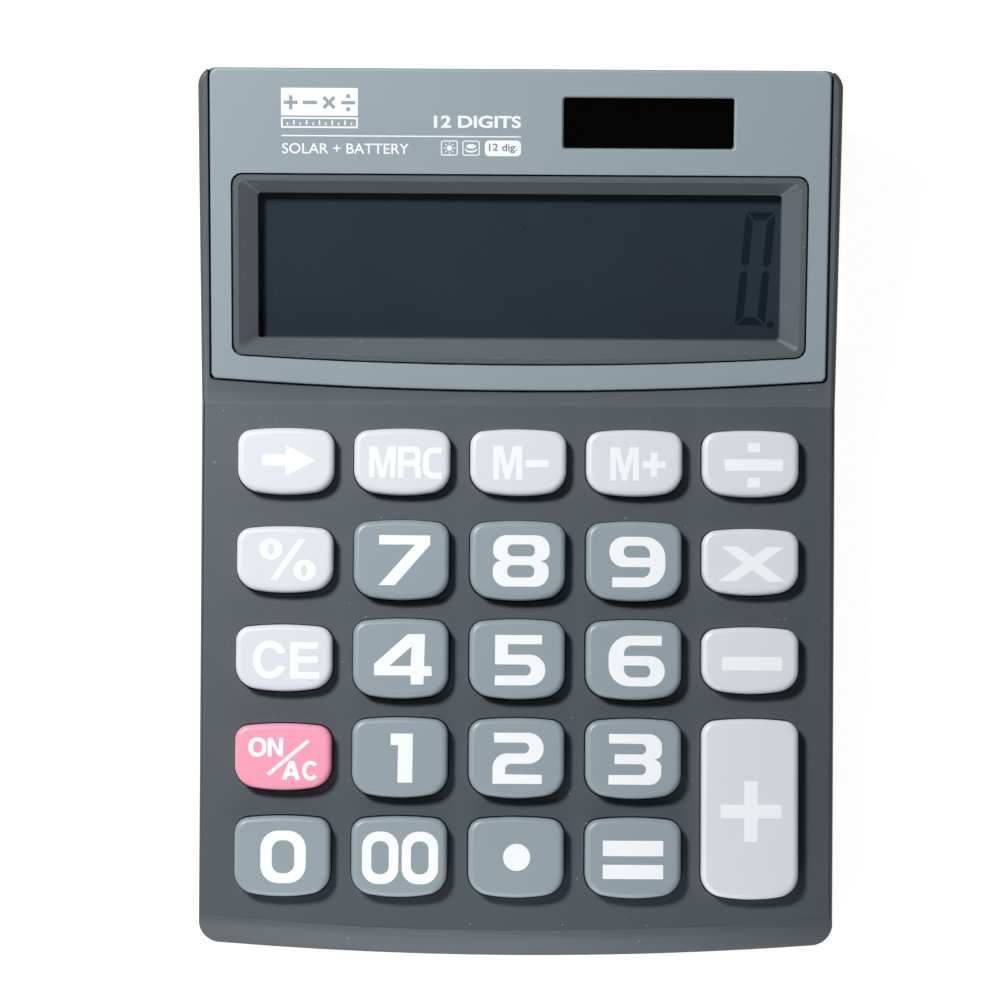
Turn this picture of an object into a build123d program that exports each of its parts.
"""Twelve-digit desk calculator, built as the separate pieces it comes apart into.

Units are millimetres. X runs to the right, Y from the front edge to the display end, Z up.
The origin is on the table under the middle of the casing. Two sloping planes carry most of the
design: the deck, which holds the keys, and the display slope behind it. They meet in the crease.
On either plane a place is given as (x, u, n): u runs up the slope from the crease and n stands
out of the surface.
"""

from math import cos, radians, sin, tan
from os import makedirs

from build123d import *

# Overall casing
LENGTH = 142.8
HALF_WIDTH_FRONT = 51.65
HALF_WIDTH_REAR = 52.35
FRONT_BOW = 2.1
FRONT_CORNER_RADIUS = 3.3
REAR_CORNER_RADIUS = 3.0
WALL = 1.8
FOOT_HEIGHT = 1.0
PARTING_Z = 6.0
TOP_Z = 45.0

# The two sloping planes
CREASE_Y = 18.35
CREASE_Z = 15.2
DECK_SLOPE = 3.0
DISPLAY_SLOPE = 17.0

# Front lip: a bevel that follows the bowed front edge
LIP_BACK = 3.95
LIP_FOOT_Z = 7.6
LIP_BULGE = 0.35
LIP_HALF_TURN = 6.0

# Details of the two casing shells
SIDE_EDGE_RADIUS = 0.8
DISPLAY_OVERLAP = 13.0
BOTTOM_EDGE_RADIUS = 1.2
FLOOR_TOP_Z = FOOT_HEIGHT + WALL
TONGUE_HEIGHT = 1.5
CASING_POST_RADIUS = 2.4
CASING_BORE_DEPTH = 2.4
HEAD_SEAT_Z = 3.4
BOARD_POST_RADIUS = 1.9

# Keys
COLUMN_PITCH = 19.0
ROW_PITCH = 16.1
FIRST_ROW_U = -9.55
KEY_PROUD = 3.0
KEY_TRAVEL = 1.5
KEY_GAP = 0.2
KEY_WALL = 1.2
KEY_EDGE_RADIUS = 0.9
KEY_TOP_BOW = 0.6
KEY_BOTTOM_BOW = 1.1
KEY_TOP_CORNER = 2.4
KEY_BOTTOM_CORNER = 3.7
SMALL_KEY = (15.75, 10.85)
LARGE_KEY = (15.6, 13.05)
TALL_KEY = (15.75, 29.3)
KEY_SKIRT_N = -2.9
KEY_EAR_TOP_N = -2.1
PLUNGER_RADIUS = 2.1
KEY_EAR = 1.0
KEY_EAR_LENGTH = 4.5

# Rubber mat and circuit board under the keys
DOME_TOP_N = -3.0
MAT_TOP_N = -5.0
MAT_THICKNESS = 0.8
BOARD_TOP_N = MAT_TOP_N - MAT_THICKNESS
BOARD_THICKNESS = 1.2
BOARD_BOTTOM_N = BOARD_TOP_N - BOARD_THICKNESS
BOARD_HALF_WIDTH = 43.6
MAT_HEAD_U = -3.0
MAT_FOOT_U = -81.6
BOARD_HEAD_U = 3.0
BOARD_FOOT_U = -82.0
DOME_FOOT_RADIUS = 3.3

# Faceplate over the display slope
PLATE_THICKNESS = 1.6
PLATE_HALF_WIDTH = 50.45
PLATE_FOOT_U = 4.25
PLATE_FOOT_BOW = 1.85
PLATE_GAP = 0.3
PLATE_REAR_INSET = 0.35
PLATE_EDGE_RADIUS = 0.4
PLATE_REAR_CORNER = 1.4

# Bezel round the display window
BEZEL_HALF_WIDTH = 46.8
BEZEL_FOOT_U = 8.3
BEZEL_FOOT_BOW = 1.45
BEZEL_HEAD_U = 37.7
BEZEL_CORNER = 1.7
BEZEL_RIM = 0.9
BEZEL_FLOOR_N = -2.3
OPENING_HALF_WIDTH = 42.85
OPENING_FOOT_U = 10.6
OPENING_HEAD_U = 34.6
OPENING_CORNER = 0.6
CEILING_N = -4.6

# Display glass, from the front to the back
LCD_MIDDLE_U = (OPENING_FOOT_U + OPENING_HEAD_U) / 2
LCD_WIDTH = 90.0
LCD_HEIGHT = 29.0
LCD_LEDGE = 2.6
POLARIZER_THICKNESS = 0.2
GLASS_THICKNESS = 1.1
REFLECTOR_BACK_N = CEILING_N - 2 * POLARIZER_THICKNESS - 2 * GLASS_THICKNESS
FLEX_THICKNESS = 0.25
FLEX_WIDTH = 64.0
FLEX_BENDS = [0.8, 1.5, 0.8]

# Frame that holds the display glass
HOLDER_WALL = 1.2
HOLDER_THICKNESS = 1.3
HOLDER_EAR_N = REFLECTOR_BACK_N
HOLDER_POST_RADIUS = 1.6
HOLDER_SCREW_X = 48.0
HOLDER_SCREW_U = (14.0, 33.0)

# Solar cell window, given as its edges on the display slope
SOLAR_LEFT_X = 7.0
SOLAR_RIGHT_X = 34.75
SOLAR_FOOT_U = 42.2
SOLAR_HEAD_U = 50.5
SOLAR_LAP = 1.0
SOLAR_WINDOW_THICKNESS = 0.8
SOLAR_CELL_THICKNESS = 1.2
SOLAR_BEVEL = 0.3

# Fasteners
CASING_SCREW_PLACES = [(-47.2, -64.8), (47.2, -64.8), (-46.9, 0.3), (46.9, 0.3), (-46.4, 65.0), (46.4, 65.0)]
SCREW_SHANK_RADIUS = 0.85
SCREW_HEAD_RADIUS = 1.9
SCREW_HEAD_HEIGHT = 1.3
THREAD_CLEARANCE = 0.1
BORE_RADIUS = SCREW_SHANK_RADIUS + THREAD_CLEARANCE
BOARD_SCREW_COLUMNS = [1.5, 1.5, 0.5]
BOARD_SCREW_ROWS = [0, 2, 3]

# Battery compartment in the underside
BATTERY_X = 0.0
CELL_Y = 44.5
CELL_RADIUS = 5.8
CELL_THICKNESS = 3.1
CELL_FOOT_Z = 3.1
WELL_WIDTH = 19.0
WELL_FRONT_Y = 28.0
WELL_REAR_Y = 53.0
DOOR_WIDTH = 15.6
DOOR_FRONT_Y = 29.6
DOOR_REAR_Y = 51.6
DOOR_THICKNESS = 1.4
DOOR_GAP = 0.25
DOOR_SCREW_Y = 33.6
CONTACT_THICKNESS = 0.3
CELL_TOP_Z = CELL_FOOT_Z + CELL_THICKNESS
WELL_TOP_Z = 7.4
DOOR_SCREW_LENGTH = 4.2

# Feet
FOOT_RADIUS = 4.5
FOOT_RECESS = 0.6
FOOT_PLACES = [(-38.0, -57.0), (38.0, -57.0), (-38.0, 58.0), (38.0, 58.0)]

# Leads, and the parts under the board
WIRE_RADIUS = 0.55
WIRE_BEND = 1.6
SOLDER_GAP = 0.3
LEAD_Z = 7.3
LEAD_END_Y = 19.6
CHIP_PLACE = (-6.0, -24.0)
CHIP_RADIUS = 7.0
CHIP_HEIGHT = 1.6
CAPACITOR_PLACE = (24.0, -8.0)
CAPACITOR_RADIUS = 1.6
CAPACITOR_LENGTH = 7.0
RESISTOR_COUNT = 5
RESISTOR_START = (8.0, -30.0)
RESISTOR_PITCH = 2.6


def slope_plane(slope):
    """The workplane of one sloping surface, with its origin in the middle of the crease."""
    tilt = radians(slope)
    return Plane(origin=(0, CREASE_Y, CREASE_Z), x_dir=(1, 0, 0), z_dir=(0, -sin(tilt), cos(tilt)))


DECK = slope_plane(DECK_SLOPE)
DISPLAY = slope_plane(DISPLAY_SLOPE)


def prism(sketch, plane, low, high):
    """A sketch drawn on a workplane, filled from one height above that plane to another."""
    return plane * (Pos(0, 0, low) * extrude(sketch, high - low, dir=(0, 0, 1)))


def bowed_face(half_width_foot, half_width_head, foot, head, bows, radii):
    """A four-sided face whose foot and head may bow outwards, with rounded corners.

    bows and radii each give the value at the foot and the value at the head.
    """
    foot_left = (-half_width_foot, foot + bows[0])
    foot_right = (half_width_foot, foot + bows[0])
    head_left = (-half_width_head, head - bows[1])
    head_right = (half_width_head, head - bows[1])
    edges = [Line(foot_left, head_left), Line(foot_right, head_right)]
    for left, right, middle, bow in (
        (foot_left, foot_right, foot, bows[0]),
        (head_left, head_right, head, bows[1]),
    ):
        edges.append(ThreePointArc(left, (0, middle), right) if bow else Line(left, right))
    face = make_face(Curve() + edges)
    for radius, middle in zip(radii, (foot + bows[0], head - bows[1])):
        if radius:
            corners = [v for v in face.vertices() if abs(v.Y - middle) < 1e-3]
            face = fillet(corners, radius)
    return face


def plan_prism(inset, low, high):
    """The space inside the upright walls between two heights, moved in by a wall's thickness."""
    face = bowed_face(
        HALF_WIDTH_FRONT - inset,
        HALF_WIDTH_REAR - inset,
        -LENGTH / 2 + inset,
        LENGTH / 2 - inset,
        (FRONT_BOW, 0),
        (max(FRONT_CORNER_RADIUS - inset, 0.8), max(REAR_CORNER_RADIUS - inset, 0.8)),
    )
    return prism(face, Plane.XY, low, high)


def slope_height(y, slope, drop):
    """The height at y of the surface that lies a given depth below a sloping plane."""
    return CREASE_Z + (y - CREASE_Y) * tan(radians(slope)) - drop / cos(radians(slope))


def under_slope(slope, drop, front_y):
    """All the space below one sloping plane lowered by a depth, from a place at its front to the rear."""
    points = [(front_y, PARTING_Z), (front_y, slope_height(front_y, slope, drop))]
    points.extend([(LENGTH, slope_height(LENGTH, slope, drop)), (LENGTH, PARTING_Z)])
    return extrude(Plane.YZ * make_face(Polyline(*points, close=True)), LENGTH, both=True)


def lip_cutter(inset):
    """What the bevel takes off the front edge, turned about the axis that the bowed edge follows."""
    half_chord = HALF_WIDTH_FRONT - FRONT_CORNER_RADIUS
    bow_radius = (half_chord**2 + FRONT_BOW**2) / (2 * FRONT_BOW)
    front = -LENGTH / 2 + inset
    top = (front + LIP_BACK, slope_height(front + LIP_BACK, DECK_SLOPE, inset))
    foot = (front - 0.3, LIP_FOOT_Z - 0.6 - inset / 2)
    middle = ((top[0] + foot[0]) / 2 - LIP_BULGE, (top[1] + foot[1]) / 2 + LIP_BULGE)
    above = top[1] + 4
    arc = ThreePointArc(top, middle, foot)
    rest = Polyline(foot, (front - 5, foot[1]), (front - 5, above), (top[0], above), top)
    axis = Axis((0, front + bow_radius, 0), (0, 0, 1))
    profile = Pos(0, -front - bow_radius, 0) * (Plane.YZ * make_face(Curve() + [arc, rest]))
    profile = Pos(0, front + bow_radius, 0) * (Rot(0, 0, -LIP_HALF_TURN) * profile)
    return revolve(profile, axis, revolution_arc=2 * LIP_HALF_TURN)


def casing_blank(inset, deck_drop, display_drop, edge_radius=0.0):
    """The solid wedge of the casing above the parting line, moved in from its outer surface.

    It is the space under the deck joined to the space under the display slope, each with its own
    rounded upper edges, so that the roundings meet cleanly in the crease.
    """
    walls = plan_prism(inset, PARTING_Z, TOP_Z)
    halves = []
    for slope, drop, front_y in (
        (DECK_SLOPE, deck_drop, -LENGTH),
        (DISPLAY_SLOPE, display_drop, CREASE_Y - DISPLAY_OVERLAP),
    ):
        half = walls & under_slope(slope, drop, front_y)
        if edge_radius:
            top = half.faces().sort_by(Axis.Z)[-1]
            edges = [e for e in top.edges() if e.center().Y > front_y + 0.1]
            half = fillet(edges, edge_radius)
        halves.append(half)
    return halves[0] + halves[1] - lip_cutter(inset)


def key_face(size, grow):
    """The outline of a key: straight sides and bowed ends, grown by a clearance."""
    width, height = size
    return bowed_face(
        width / 2 + grow,
        width / 2 + grow,
        -height / 2 - grow,
        height / 2 + grow,
        (KEY_BOTTOM_BOW, KEY_TOP_BOW),
        (KEY_BOTTOM_CORNER + grow, KEY_TOP_CORNER + grow),
    )


def row_u(row):
    """How far up the deck the middle of a row of keys lies."""
    return FIRST_ROW_U - row * ROW_PITCH


def key_places():
    """Every key's name, size, and the middle of its outline on the deck."""
    rows = [
        ["shift_left", "memory_recall", "memory_minus", "memory_plus", "divide"],
        ["percent", "7", "8", "9", "multiply"],
        ["clear_entry", "4", "5", "6", "minus"],
        ["on_all_clear", "1", "2", "3", None],
        ["0", "00", "decimal_point", "equals", None],
    ]
    grey = {"0", "1", "2", "3", "4", "5", "6", "7", "8", "9", "00", "decimal_point", "equals"}
    places = []
    for row, names in enumerate(rows):
        for column, name in enumerate(names):
            if name:
                size = LARGE_KEY if name in grey else SMALL_KEY
                places.append(("key_" + name, size, ((column - 2) * COLUMN_PITCH, row_u(row))))
    places.append(("key_plus", TALL_KEY, (2 * COLUMN_PITCH, (row_u(3) + row_u(4)) / 2)))
    return places


def board_screw_places():
    """Where the board's screws stand on the deck: where the corners of four keys meet."""
    places = []
    for columns, row in zip(BOARD_SCREW_COLUMNS, BOARD_SCREW_ROWS):
        u = row_u(row) - ROW_PITCH / 2
        places.extend([(-columns * COLUMN_PITCH, u), (columns * COLUMN_PITCH, u)])
    return places


def plate_face(grow):
    """The faceplate's outline on the display slope, open-ended past the rear edge."""
    half_width = PLATE_HALF_WIDTH + grow
    return bowed_face(
        half_width, half_width, PLATE_FOOT_U - PLATE_FOOT_BOW - grow, LENGTH, (PLATE_FOOT_BOW, 0), (1.0, 0)
    )


def bezel_face(inset):
    """The bezel's outline on the display slope, moved in from its outer edge."""
    return bowed_face(
        BEZEL_HALF_WIDTH - inset,
        BEZEL_HALF_WIDTH - inset,
        BEZEL_FOOT_U - BEZEL_FOOT_BOW + inset,
        BEZEL_HEAD_U - inset,
        (BEZEL_FOOT_BOW, 0),
        (BEZEL_CORNER - inset / 2, BEZEL_CORNER - inset / 2),
    )


def opening_face(grow):
    """The rectangle through which the display glass is seen."""
    size = (2 * (OPENING_HALF_WIDTH + grow), OPENING_HEAD_U - OPENING_FOOT_U + 2 * grow)
    return Pos(0, LCD_MIDDLE_U) * RectangleRounded(*size, OPENING_CORNER)


def solar_face(grow, corner=0.5):
    """The rectangle of the solar cell's window on the display slope."""
    size = (SOLAR_RIGHT_X - SOLAR_LEFT_X + 2 * grow, SOLAR_HEAD_U - SOLAR_FOOT_U + 2 * grow)
    middle = Pos((SOLAR_LEFT_X + SOLAR_RIGHT_X) / 2, (SOLAR_FOOT_U + SOLAR_HEAD_U) / 2)
    return middle * RectangleRounded(*size, corner)


def post(x, y, radius, low, high):
    """An upright round post, or the hole for one."""
    return Pos(x, y, (low + high) / 2) * Cylinder(radius, high - low)


def deck_post(place, radius, low, high):
    """A round post that stands square to the deck, or the hole for one."""
    return prism(Pos(*place) * Circle(radius), DECK, low, high)


def box_between(x, y, z):
    """A box given by its two limits along each axis."""
    size = (x[1] - x[0], y[1] - y[0], z[1] - z[0])
    return Pos((x[0] + x[1]) / 2, (y[0] + y[1]) / 2, (z[0] + z[1]) / 2) * Box(*size)


def union(shapes):
    """All the given shapes as one."""
    shapes = list(shapes)
    return shapes[0].fuse(*shapes[1:]) if len(shapes) > 1 else shapes[0]


# ---- casing -------------------------------------------------------------------------------------


def upper_casing():
    """Top shell: keyhole deck, bezel, bed for the faceplate, and the posts that hold the insides."""
    bezel = prism(bezel_face(0), DISPLAY, -PLATE_THICKNESS - 1, 5)
    bed = prism(plate_face(PLATE_GAP), DISPLAY, -PLATE_THICKNESS, 12) - bezel
    inner = casing_blank(WALL, WALL, -CEILING_N)
    shell = casing_blank(0, 0, 0, SIDE_EDGE_RADIUS) - bed - inner
    shell -= plan_prism(WALL / 2, PARTING_Z, PARTING_Z + TONGUE_HEIGHT + 0.3)
    rim = DISPLAY * bezel_face(BEZEL_RIM)
    floor = DISPLAY * (Pos(0, 0, BEZEL_FLOOR_N) * opening_face(0))
    shell -= loft([rim.face(), floor.face()], ruled=True)
    shell -= prism(opening_face(0), DISPLAY, CEILING_N - 1, BEZEL_FLOOR_N)
    shell -= prism(solar_face(SOLAR_LAP), DISPLAY, CEILING_N - 1, 0)
    shell -= union(prism(Pos(*place) * key_face(size, KEY_GAP), DECK, -4, 4) for _, size, place in key_places())
    posts = [post(x, y, CASING_POST_RADIUS, PARTING_Z, TOP_Z) for x, y in CASING_SCREW_PLACES]
    posts += [deck_post(place, BOARD_POST_RADIUS, BOARD_TOP_N, 0) for place in board_screw_places()]
    posts += [display_post(place, HOLDER_POST_RADIUS, HOLDER_EAR_N, 0) for place in holder_screw_places()]
    shell += union(posts) & casing_blank(WALL / 2, WALL / 2, WALL / 2 - CEILING_N - WALL)
    bores = []
    for x, y in CASING_SCREW_PLACES:
        bores.append(post(x, y, BORE_RADIUS, PARTING_Z - 1, PARTING_Z + CASING_BORE_DEPTH))
    for place in board_screw_places():
        bores.append(deck_post(place, BORE_RADIUS, BOARD_TOP_N - 1, -WALL - 0.6))
    for place in holder_screw_places():
        bores.append(display_post(place, BORE_RADIUS, HOLDER_EAR_N - 1, CEILING_N - 0.4))
    return shell - union(bores)


def lower_casing():
    """Bottom tray: floor, tongue round the rim, screw posts, foot recesses and the battery well."""
    foot_edge = plan_prism(0, FOOT_HEIGHT, PARTING_Z)
    bottom_edges = foot_edge.edges().group_by(Axis.Z)[0]
    tray = fillet(bottom_edges, BOTTOM_EDGE_RADIUS) - plan_prism(WALL, FLOOR_TOP_Z, PARTING_Z)
    tongue = plan_prism(WALL / 2 + 0.1, PARTING_Z, PARTING_Z + TONGUE_HEIGHT)
    tongue -= plan_prism(WALL, PARTING_Z, PARTING_Z + TONGUE_HEIGHT)
    posts = [post(x, y, CASING_POST_RADIUS + 0.5, FLOOR_TOP_Z - 0.5, PARTING_Z) for x, y in CASING_SCREW_PLACES]
    tray += union(posts) & plan_prism(WALL / 2, FOOT_HEIGHT, PARTING_Z)
    tray += tongue - union(post(x, y, CASING_POST_RADIUS + 0.6, 0, TOP_Z) for x, y in CASING_SCREW_PLACES)
    well_x = (BATTERY_X - WELL_WIDTH / 2, BATTERY_X + WELL_WIDTH / 2)
    tray += box_between(well_x, (WELL_FRONT_Y, WELL_REAR_Y), (FLOOR_TOP_Z - 0.5, WELL_TOP_Z))
    for x, y in CASING_SCREW_PLACES:
        tray -= post(x, y, SCREW_HEAD_RADIUS + 0.4, 0, HEAD_SEAT_Z)
        tray -= post(x, y, SCREW_SHANK_RADIUS + 0.4, 0, PARTING_Z + 1)
    for x, y in FOOT_PLACES:
        tray -= post(x, y, FOOT_RADIUS, 0, FOOT_HEIGHT + FOOT_RECESS)
    return tray - battery_space()


def battery_space():
    """All that is taken out of the battery well: door seat, cell pocket, contact slots, screw bore."""
    half_door = DOOR_WIDTH / 2 + DOOR_GAP
    door_y = (DOOR_FRONT_Y - DOOR_GAP, DOOR_REAR_Y + DOOR_GAP)
    door_z = (0, FOOT_HEIGHT + DOOR_THICKNESS)
    space = box_between((BATTERY_X - half_door, BATTERY_X + half_door), door_y, door_z)
    space += post(BATTERY_X, CELL_Y, CELL_RADIUS + 0.4, 0, CELL_TOP_Z)
    cell_side = BATTERY_X + CELL_RADIUS
    above = WELL_TOP_Z + 1
    space += box_between((cell_side - 1, cell_side + 1.2), (CELL_Y - 2.3, CELL_Y + 2.3), (CELL_FOOT_Z, above))
    space += box_between((BATTERY_X - 2.3, BATTERY_X + 2.3), (CELL_Y - 4, CELL_Y + 4), (CELL_TOP_Z - 1, above))
    space += post(BATTERY_X, DOOR_SCREW_Y, BORE_RADIUS, 0, WELL_TOP_Z - 0.6)
    return space


# ---- display ------------------------------------------------------------------------------------


def display_post(place, radius, low, high):
    """A round post that stands square to the display slope, or the hole for one."""
    return prism(Pos(*place) * Circle(radius), DISPLAY, low, high)


def holder_screw_places():
    """Where the display holder's ears are screwed down on the display slope."""
    return [(x, u) for x in (-HOLDER_SCREW_X, HOLDER_SCREW_X) for u in HOLDER_SCREW_U]


def faceplate():
    """Light plate bedded on the display slope, with windows for the bezel and the solar cell."""
    rear_y = LENGTH / 2 - PLATE_REAR_INSET
    plate = prism(plate_face(0), DISPLAY, -PLATE_THICKNESS, 0)
    plate &= box_between((-LENGTH, LENGTH), (-LENGTH, rear_y), (PARTING_Z, TOP_Z))
    rear_corners = [e for e in plate.edges().filter_by(Axis.Z) if e.center().Y > rear_y - 0.1]
    plate = fillet(rear_corners, PLATE_REAR_CORNER)
    top = plate.faces().filter_by(lambda face: face.normal_at().dot(DISPLAY.z_dir) > 0.999)
    plate = fillet(top.edges(), PLATE_EDGE_RADIUS)
    plate -= prism(bezel_face(-PLATE_GAP), DISPLAY, -PLATE_THICKNESS - 1, 1)
    plate -= prism(solar_face(0), DISPLAY, -PLATE_THICKNESS - 1, 1)
    window_edges = [e for e in plate.edges() if on_solar_rim(e)]
    return chamfer(window_edges, SOLAR_BEVEL)


def on_solar_rim(edge):
    """Whether an edge lies on the upper rim of the solar cell's window."""
    x, u, n = DISPLAY.to_local_coords(edge.center())
    inside = SOLAR_LEFT_X - 0.1 < x < SOLAR_RIGHT_X + 0.1 and SOLAR_FOOT_U - 0.1 < u < SOLAR_HEAD_U + 0.1
    return inside and abs(n) < 0.01


def solar_window():
    """Clear sheet glued under the faceplate over the solar cell."""
    top = -PLATE_THICKNESS
    return prism(solar_face(SOLAR_LAP - 0.15), DISPLAY, top - SOLAR_WINDOW_THICKNESS, top)


def solar_cell():
    """Glass solar cell behind its window."""
    top = -PLATE_THICKNESS - SOLAR_WINDOW_THICKNESS
    return prism(solar_face(SOLAR_LAP - 0.25), DISPLAY, top - SOLAR_CELL_THICKNESS, top)


def display_layer(width, foot, head, top, thickness):
    """One flat sheet of the display sandwich, between two distances up the display slope."""
    return prism(Pos(0, (foot + head) / 2) * Rectangle(width, head - foot), DISPLAY, top - thickness, top)


def display_sandwich():
    """The display's four sheets: polarizer, front glass with its ledge, rear glass, reflector."""
    foot = LCD_MIDDLE_U - LCD_HEIGHT / 2
    head = foot + LCD_HEIGHT
    glass_top = CEILING_N - POLARIZER_THICKNESS
    rear_top = glass_top - GLASS_THICKNESS
    reflector_top = rear_top - GLASS_THICKNESS
    return {
        "display_polarizer": display_layer(LCD_WIDTH - 1, foot + 1.2, head - 1, CEILING_N, POLARIZER_THICKNESS),
        "display_front_glass": display_layer(LCD_WIDTH, foot, head, glass_top, GLASS_THICKNESS),
        "display_rear_glass": display_layer(LCD_WIDTH, foot + LCD_LEDGE, head, rear_top, GLASS_THICKNESS),
        "display_reflector": display_layer(
            LCD_WIDTH - 1, foot + LCD_LEDGE + 0.5, head - 0.5, reflector_top, POLARIZER_THICKNESS
        ),
    }


def display_holder():
    """Frame that clamps the display glass up against the bezel, with four screwed ears."""
    foot = LCD_MIDDLE_U - LCD_HEIGHT / 2 + LCD_LEDGE
    head = LCD_MIDDLE_U + LCD_HEIGHT / 2
    middle = Pos(0, (foot + head) / 2)
    back_n = HOLDER_EAR_N - HOLDER_THICKNESS
    outer = middle * Rectangle(LCD_WIDTH + 2 * HOLDER_WALL + 0.4, head - foot + 2 * HOLDER_WALL + 0.4)
    pocket = middle * Rectangle(LCD_WIDTH + 0.4, head - foot + 2 * HOLDER_WALL + 2)
    window = middle * Rectangle(LCD_WIDTH - 6, head - foot - 6)
    foot_clearance = Pos(0, foot - 2) * Rectangle(LCD_WIDTH + 0.4, 4.4)
    frame = prism(outer, DISPLAY, back_n, CEILING_N)
    head_wall = Pos(0, head + 3 + 0.2) * Rectangle(LCD_WIDTH + 2, 6)
    for space in (pocket - head_wall, foot_clearance):
        frame -= prism(space, DISPLAY, REFLECTOR_BACK_N, CEILING_N + 1)
    frame -= prism(window, DISPLAY, back_n - 1, CEILING_N)
    for x, u in holder_screw_places():
        ear = Pos(x, u) * Circle(HOLDER_POST_RADIUS + 0.3)
        arm = Pos(x * 0.985, u) * Rectangle(3.0, 2 * HOLDER_POST_RADIUS + 0.6)
        frame += prism(ear + arm, DISPLAY, back_n, HOLDER_EAR_N)
    for place in holder_screw_places():
        frame -= display_post(place, SCREW_SHANK_RADIUS + 0.3, back_n - 1, HOLDER_EAR_N + 1)
    return frame


def display_flex():
    """Printed film that joins the display's ledge to the rear edge of the board."""
    ledge_u = LCD_MIDDLE_U - LCD_HEIGHT / 2 + 0.2
    ledge_n = CEILING_N - POLARIZER_THICKNESS - GLASS_THICKNESS - FLEX_THICKNESS / 2
    ledge = DISPLAY.from_local_coords(Vector(0, ledge_u + LCD_LEDGE - 0.6, ledge_n))
    leave = DISPLAY.from_local_coords(Vector(0, ledge_u - 0.5, ledge_n))
    board = DECK.from_local_coords(Vector(0, -1.0, BOARD_TOP_N + FLEX_THICKNESS / 2))
    land = DECK.from_local_coords(Vector(0, 1.6, BOARD_TOP_N + FLEX_THICKNESS / 2))
    bend = (land + leave) / 2 + Vector(0, -0.6, 0.6)
    path = FilletPolyline(*[(p.Y, p.Z) for p in (ledge, leave, bend, land, board)], radius=FLEX_BENDS)
    strip = trace(path, FLEX_THICKNESS)
    return extrude(Plane.YZ * strip, FLEX_WIDTH / 2, both=True)


# ---- keyboard -----------------------------------------------------------------------------------


def key(size, place):
    """One key cap: bowed hollow cap, a plunger under its middle and an ear on each side."""
    at = Pos(*place)
    cap = prism(at * key_face(size, 0), DECK, KEY_SKIRT_N, KEY_PROUD)
    top = cap.faces().filter_by(lambda face: face.normal_at().dot(DECK.z_dir) > 0.999)
    cap = fillet(top.edges(), KEY_EDGE_RADIUS)
    hollow = (size[0] - 2 * KEY_WALL, size[1] - 2 * KEY_WALL)
    cap -= prism(at * Rectangle(hollow[0], hollow[1] - KEY_BOTTOM_BOW), DECK, KEY_SKIRT_N - 1, KEY_PROUD - 1.6)
    cap += deck_post(place, PLUNGER_RADIUS, DOME_TOP_N, KEY_PROUD - 1.5)
    ear = Rectangle(size[0] + 2 * KEY_EAR, KEY_EAR_LENGTH) - Rectangle(size[0] - 1, KEY_EAR_LENGTH)
    return cap + prism(at * ear, DECK, KEY_SKIRT_N, KEY_EAR_TOP_N)


def rubber_dome_mat():
    """Silicone mat with one hollow dome under every key."""
    sheet = Pos(0, (MAT_HEAD_U + MAT_FOOT_U) / 2) * Rectangle(2 * BOARD_HALF_WIDTH, MAT_HEAD_U - MAT_FOOT_U)
    mat = prism(sheet, DECK, BOARD_TOP_N, MAT_TOP_N)
    domes = []
    hollows = []
    height = DOME_TOP_N - MAT_TOP_N
    for _, _, (x, u) in key_places():
        cone = Cone(DOME_FOOT_RADIUS, PLUNGER_RADIUS, height)
        domes.append(DECK * (Pos(x, u, MAT_TOP_N + height / 2) * cone))
        cave_height = MAT_THICKNESS + height - 0.9
        cave = Cone(DOME_FOOT_RADIUS - 0.5, PLUNGER_RADIUS - 0.7, cave_height)
        hollows.append(DECK * (Pos(x, u, BOARD_TOP_N + cave_height / 2) * cave))
    holes = [deck_post(place, BOARD_POST_RADIUS + 0.4, BOARD_TOP_N - 1, 0) for place in board_screw_places()]
    return mat.fuse(*domes).cut(*hollows, *holes)


# ---- electronics --------------------------------------------------------------------------------


def main_board():
    """Circuit board under the mat, screwed to the upper casing."""
    size = (2 * BOARD_HALF_WIDTH, BOARD_HEAD_U - BOARD_FOOT_U)
    sheet = Pos(0, (BOARD_HEAD_U + BOARD_FOOT_U) / 2) * Rectangle(*size)
    board = prism(sheet, DECK, BOARD_BOTTOM_N, BOARD_TOP_N)
    hole = SCREW_SHANK_RADIUS + 0.25
    holes = [deck_post(place, hole, BOARD_BOTTOM_N - 1, BOARD_TOP_N + 1) for place in board_screw_places()]
    notches = [post(x, y, CASING_POST_RADIUS + 0.8, 0, TOP_Z) for x, y in CASING_SCREW_PLACES]
    return board.cut(*holes, *notches)


def chip_blob():
    """Resin blob over the calculator chip, on the underside of the board."""
    blob = Cone(CHIP_RADIUS * 0.55, CHIP_RADIUS, CHIP_HEIGHT)
    return DECK * (Pos(*CHIP_PLACE, BOARD_BOTTOM_N - CHIP_HEIGHT / 2) * blob)


def capacitor():
    """Small electrolytic capacitor lying against the underside of the board."""
    lying = Rot(0, 90, 0) * Cylinder(CAPACITOR_RADIUS, CAPACITOR_LENGTH)
    return DECK * (Pos(*CAPACITOR_PLACE, BOARD_BOTTOM_N - CAPACITOR_RADIUS) * lying)


def chip_resistors():
    """Row of small resistors and diodes on the underside of the board."""
    chips = []
    for index in range(RESISTOR_COUNT):
        x = RESISTOR_START[0] + index * RESISTOR_PITCH
        chips.append(DECK * (Pos(x, RESISTOR_START[1], BOARD_BOTTOM_N - 0.3) * Box(1.25, 2.0, 0.6)))
    return Compound(children=chips)


def wire(points):
    """A round lead along straight runs joined by bends."""
    path = FilletPolyline(*points, radius=WIRE_BEND)
    start = Plane(origin=path @ 0, z_dir=path % 0)
    return sweep(start * Circle(WIRE_RADIUS), path)


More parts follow.
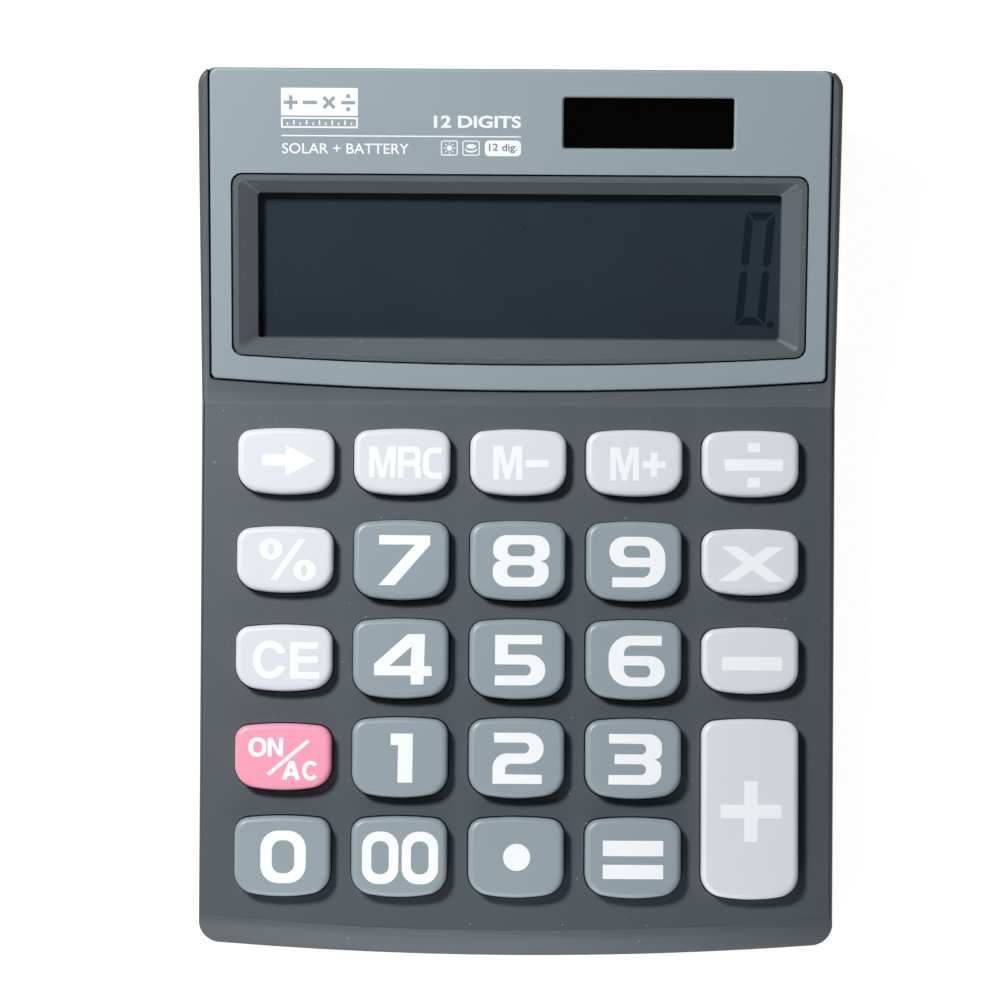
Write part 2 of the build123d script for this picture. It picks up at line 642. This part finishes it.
def solar_leads():
    """The two leads that run from the back of the solar cell round the display to the board."""
    leads = {}
    for name, x, edge_x in (("solar_lead_positive", 31.0, 40.5), ("solar_lead_negative", 27.0, 37.5)):
        cell_back_n = -PLATE_THICKNESS - SOLAR_WINDOW_THICKNESS - SOLAR_CELL_THICKNESS - SOLDER_GAP
        start = DISPLAY.from_local_coords(Vector(x, (SOLAR_FOOT_U + SOLAR_HEAD_U) / 2, cell_back_n))
        points = [tuple(start), (x, start.Y + 1, 12.0), (edge_x, 46.0, LEAD_Z), (edge_x, LEAD_END_Y, LEAD_Z)]
        leads[name] = wire(points)
    return leads


def battery_contacts():
    """The leaf under the cell's small face and the strip against its side."""
    t = CONTACT_THICKNESS
    top = CELL_TOP_Z
    across = (BATTERY_X - 2, BATTERY_X + 2)
    bend_y = CELL_Y - 3.7
    leaf = box_between(across, (bend_y, CELL_Y + 3.7), (top, top + t))
    riser = box_between(across, (bend_y, bend_y + t), (top, WELL_TOP_Z + t))
    tail = box_between(across, (WELL_FRONT_Y - 1, bend_y + t), (WELL_TOP_Z, WELL_TOP_Z + t))
    side = BATTERY_X + CELL_RADIUS
    tab = box_between((side, side + t), (CELL_Y - 2, CELL_Y + 2), (CELL_FOOT_Z + 0.4, WELL_TOP_Z + t))
    arm = box_between((side, side + 2.4), (WELL_FRONT_Y - 1, CELL_Y + 2), (WELL_TOP_Z, WELL_TOP_Z + t))
    return {"battery_contact_negative": leaf + riser + tail, "battery_contact_positive": tab + arm}


def battery_leads():
    """The two leads from the battery contacts to the board."""
    leads = {}
    places = (("battery_lead_negative", BATTERY_X), ("battery_lead_positive", BATTERY_X + CELL_RADIUS + 1.2))
    for name, x in places:
        top = WELL_TOP_Z + CONTACT_THICKNESS + WIRE_RADIUS
        points = [(x, WELL_FRONT_Y + 3, top), (x, WELL_FRONT_Y - 2.2, top), (x, WELL_FRONT_Y - 4, LEAD_Z)]
        points.append((x, LEAD_END_Y, LEAD_Z))
        leads[name] = wire(points)
    return leads


# ---- battery, door, fasteners, feet -------------------------------------------------------------


def button_cell():
    """Button cell lying in its pocket."""
    can = Pos(BATTERY_X, CELL_Y, CELL_FOOT_Z + CELL_THICKNESS / 2) * Cylinder(CELL_RADIUS, CELL_THICKNESS)
    return chamfer(can.edges().group_by(Axis.Z)[0], 0.3)


def battery_door():
    """Flat door, flush with the underside, with a pad that backs the cell."""
    half = DOOR_WIDTH / 2
    top = FOOT_HEIGHT + DOOR_THICKNESS
    door = box_between((BATTERY_X - half, BATTERY_X + half), (DOOR_FRONT_Y, DOOR_REAR_Y), (FOOT_HEIGHT, top))
    door = fillet(door.edges().filter_by(Axis.Z), 1.0)
    door += post(BATTERY_X, CELL_Y, CELL_RADIUS - 0.8, top, CELL_FOOT_Z)
    head_seat = FOOT_HEIGHT + SCREW_HEAD_HEIGHT * 0.6
    door -= post(BATTERY_X, DOOR_SCREW_Y, SCREW_HEAD_RADIUS + 0.2, 0, head_seat)
    return door - post(BATTERY_X, DOOR_SCREW_Y, SCREW_SHANK_RADIUS + 0.15, 0, top + 1)


def cross_screw(head_height, length):
    """A pan-head screw with a cross recess; its head stands below z = 0 and its shank above."""
    screw = Pos(0, 0, -head_height / 2) * Cylinder(SCREW_HEAD_RADIUS, head_height)
    screw = fillet(screw.edges().group_by(Axis.Z)[0], head_height * 0.35)
    screw += Pos(0, 0, length / 2) * Cylinder(SCREW_SHANK_RADIUS, length)
    recess = Box(2.2, 0.5, 1.2) + Box(0.5, 2.2, 1.2)
    return screw - Pos(0, 0, -head_height) * recess


def casing_screws():
    """The screws that come up through the tray into the upper casing's posts."""
    length = PARTING_Z + CASING_BORE_DEPTH - 0.4 - HEAD_SEAT_Z
    screw = cross_screw(SCREW_HEAD_HEIGHT, length)
    return Compound(children=[Pos(x, y, HEAD_SEAT_Z) * screw for x, y in CASING_SCREW_PLACES])


def board_screws():
    """The screws that hold the board to the posts under the deck."""
    screw = cross_screw(0.9, BOARD_THICKNESS + 2.8)
    return Compound(children=[DECK * (Pos(*place, BOARD_BOTTOM_N) * screw) for place in board_screw_places()])


def holder_screws():
    """The screws that hold the display holder's ears."""
    screw = cross_screw(0.9, HOLDER_THICKNESS + 2.0)
    seat = HOLDER_EAR_N - HOLDER_THICKNESS
    return Compound(children=[DISPLAY * (Pos(*place, seat) * screw) for place in holder_screw_places()])


def battery_door_screw():
    """The one screw that holds the battery door."""
    head = SCREW_HEAD_HEIGHT * 0.6
    return Pos(BATTERY_X, DOOR_SCREW_Y, FOOT_HEIGHT + head) * cross_screw(head, DOOR_SCREW_LENGTH)


def rubber_feet():
    """Four round rubber feet set into the underside."""
    height = FOOT_HEIGHT + FOOT_RECESS
    foot = Pos(0, 0, height / 2) * Cylinder(FOOT_RADIUS, height)
    foot = fillet(foot.edges().group_by(Axis.Z)[0], 0.4)
    return Compound(children=[Pos(x, y, 0) * foot for x, y in FOOT_PLACES])


def all_nodes():
    """Every separate piece of the calculator under its own name."""
    nodes = {
        "upper_casing": upper_casing(),
        "lower_casing": lower_casing(),
        "faceplate": faceplate(),
        "solar_window": solar_window(),
        "solar_cell": solar_cell(),
        "display_holder": display_holder(),
        "display_flex": display_flex(),
        "rubber_dome_mat": rubber_dome_mat(),
        "main_board": main_board(),
        "chip_blob": chip_blob(),
        "capacitor": capacitor(),
        "chip_resistors": chip_resistors(),
        "button_cell": button_cell(),
        "battery_door": battery_door(),
        "battery_door_screw": battery_door_screw(),
        "casing_screws": casing_screws(),
        "board_screws": board_screws(),
        "holder_screws": holder_screws(),
        "rubber_feet": rubber_feet(),
    }
    for group in (display_sandwich(), solar_leads(), battery_contacts(), battery_leads()):
        nodes.update(group)
    for name, size, place in key_places():
        nodes[name] = key(size, place)
    return nodes


if __name__ == "__main__":
    makedirs("parts", exist_ok=True)
    for name, shape in all_nodes().items():
        export_step(shape, f"parts/{name}.step")
        print(name, round(shape.volume, 1))
